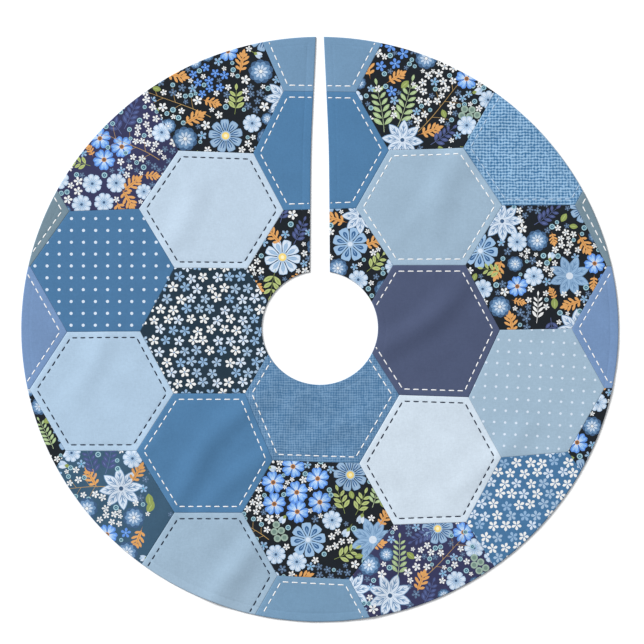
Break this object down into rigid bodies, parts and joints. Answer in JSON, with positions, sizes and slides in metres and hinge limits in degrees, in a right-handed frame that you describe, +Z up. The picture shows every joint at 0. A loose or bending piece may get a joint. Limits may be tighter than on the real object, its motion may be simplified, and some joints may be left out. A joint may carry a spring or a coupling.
{
  "type": "tree skirt",
  "caption": "Round patchwork tree skirt lying flat, with a trunk hole in the middle and a slit from it to the outer edge, whose sides fold back.",
  "frame": {"origin": "on the floor at the centre of the trunk hole, which is also the middle of the round outline", "axes": "+Z up out of the printed side, +Y from the trunk hole along the slit to its mouth, +X to the right seen from above with the slit pointing away"},
  "size_m": [1.118, 1.1178, 0.0027],
  "materials": {
    "slate_plain": "smooth matt woven cotton",
    "blue_plain": "smooth matt woven cotton",
    "steel_plain": "smooth matt woven cotton",
    "pale_plain": "smooth matt woven cotton",
    "sky_plain": "smooth matt woven cotton",
    "ice_plain": "smooth matt woven cotton",
    "mist_plain": "smooth matt woven cotton",
    "navy_plain": "smooth matt woven cotton",
    "grey_plain": "smooth matt woven cotton",
    "periwinkle_plain": "smooth matt woven cotton",
    "ink_floral": null,
    "indigo_floral": null,
    "teal_floral": null,
    "navy_ditsy": "matt woven cotton printed with tiny scattered blossoms",
    "steel_ditsy": "matt woven cotton printed with tiny scattered blossoms",
    "blue_dotted": "matt woven cotton printed with small dots in rows",
    "mist_dotted": "matt woven cotton printed with small dots in rows",
    "denim_weave": "coarse matt weave with slubby threads",
    "slub_weave": "coarse matt weave with slubby threads",
    "lining_cotton": "plain matt cotton",
    "facing_cotton": "plain matt cotton"
  },
  "bodies": {
    "skirt": {"grey_patch_far_left": "grey_plain", "periwinkle_patch_far_left": "periwinkle_plain", "floral_patch_far_left": "ink_floral", "floral_patch_left_back": "indigo_floral", "dotted_patch_left": "blue_dotted", "sky_patch_left": "sky_plain", "floral_patch_left_front": "teal_floral", "floral_patch_back_left": "ink_floral", "pale_patch_back_left": "pale_plain", "ditsy_patch_trunk_left": "navy_ditsy", "blue_patch_front_left": "blue_plain", "mist_patch_front_left": "mist_plain", "denim_patch_trunk_front": "denim_weave", "floral_patch_front": "ink_floral", "steel_patch_front": "steel_plain", "floral_patch_back_right": "ink_floral", "mist_patch_back_right": "mist_plain", "navy_patch_trunk_right": "navy_plain", "ice_patch_front_right": "ice_plain", "floral_patch_front_right": "indigo_floral", "slub_patch_right_back": "slub_weave", "floral_patch_right": "ink_floral", "dotted_patch_right": "mist_dotted", "ditsy_patch_right_front": "steel_ditsy", "grey_patch_far_right": "grey_plain", "periwinkle_patch_far_right": "periwinkle_plain", "floral_patch_far_right": "ink_floral", "slate_patch_mouth_left_corner": "slate_plain", "slate_patch_mouth_right_corner": "slate_plain", "blue_patch_slit_left_corner": "blue_plain", "blue_patch_slit_right_corner": "blue_plain", "floral_patch_trunk_back_left_corner": "ink_floral", "floral_patch_trunk_back_right_corner": "ink_floral", "lining": "lining_cotton", "outer_facing": "facing_cotton", "trunk_facing": "facing_cotton"},
    "left_strip": {"slate_patch_mouth_left_strip": "slate_plain", "blue_patch_slit_left_strip": "blue_plain", "floral_patch_trunk_back_left_strip": "ink_floral", "lining_left_strip": "lining_cotton", "outer_facing_left_strip": "facing_cotton", "trunk_facing_left_strip": "facing_cotton", "slit_facing_left": "facing_cotton"},
    "right_strip": {"slate_patch_mouth_right_strip": "slate_plain", "blue_patch_slit_right_strip": "blue_plain", "floral_patch_trunk_back_right_strip": "ink_floral", "lining_right_strip": "lining_cotton", "outer_facing_right_strip": "facing_cotton", "trunk_facing_right_strip": "facing_cotton", "slit_facing_right": "facing_cotton"}
  },
  "joints": [
    {"name": "left_fold", "type": "hinge", "parent": "skirt", "child": "left_strip", "pos_m": [-0.066, 0.334, 0.0037], "axis": [0, -1, 0], "range_deg": [0, 170]},
    {"name": "right_fold", "type": "hinge", "parent": "skirt", "child": "right_strip", "pos_m": [0.066, 0.334, 0.0037], "axis": [0, 1, 0], "range_deg": [0, 170]}
  ]
}
